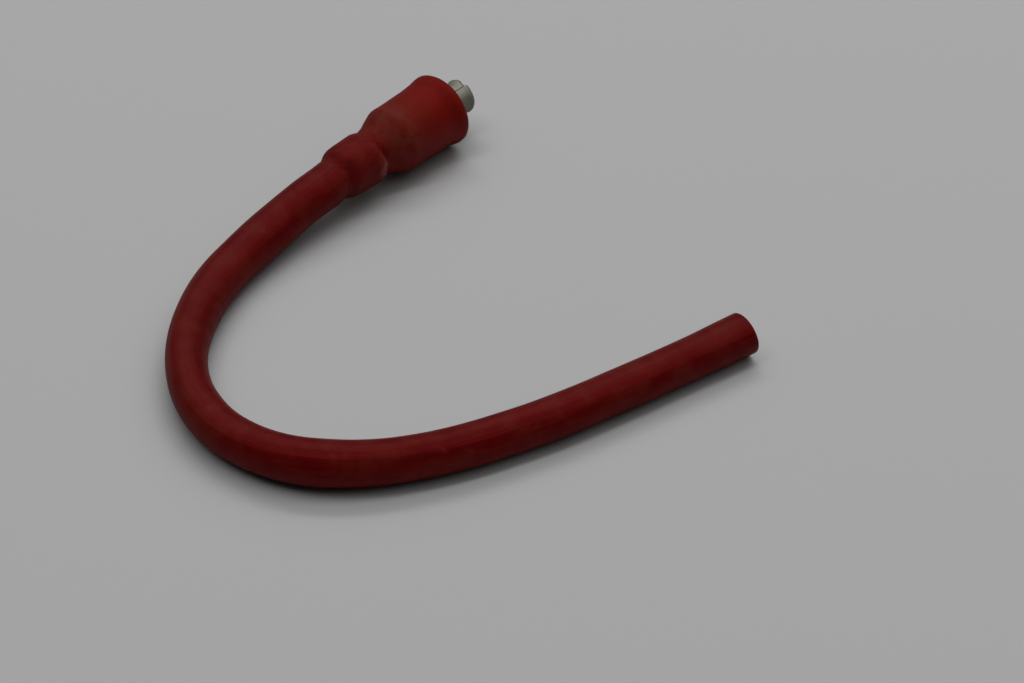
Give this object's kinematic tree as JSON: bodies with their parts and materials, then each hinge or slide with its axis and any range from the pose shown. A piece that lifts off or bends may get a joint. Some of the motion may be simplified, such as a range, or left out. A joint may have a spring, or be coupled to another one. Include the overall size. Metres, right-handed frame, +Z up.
{
  "type": "ignition coil lead",
  "caption": "Short thick red silicone high tension lead with a moulded boot and plated terminal at one end and a square cut at the other.",
  "frame": {"origin": "on the surface that the lead lies on, under the middle of the boot and its terminal", "axes": "+X along the boot's axis, out of its mouth towards the terminal's tip; +Z up from the surface that the lead lies on"},
  "size_m": [0.0962, 0.0935, 0.015],
  "materials": {
    "boot_silicone": "matt moulded silicone, dusty, with lighter rubbed edges",
    "jacket_silicone": "matt extruded silicone with faint dust and long soft scuffs",
    "plated_steel": "dull zinc plating, slightly stained",
    "glass_fibre": "fine off-white braid",
    "grey_silicone": "plain matt silicone, freshly cut",
    "wound_core": "dark strand wound with fine wire"
  },
  "bodies": {
    "root": {"boot": "boot_silicone", "terminal": "plated_steel", "wire_jacket": "jacket_silicone", "glass_braid": "glass_fibre", "inner_insulation": "grey_silicone", "conductor_core": "wound_core"}
  },
  "joints": []
}
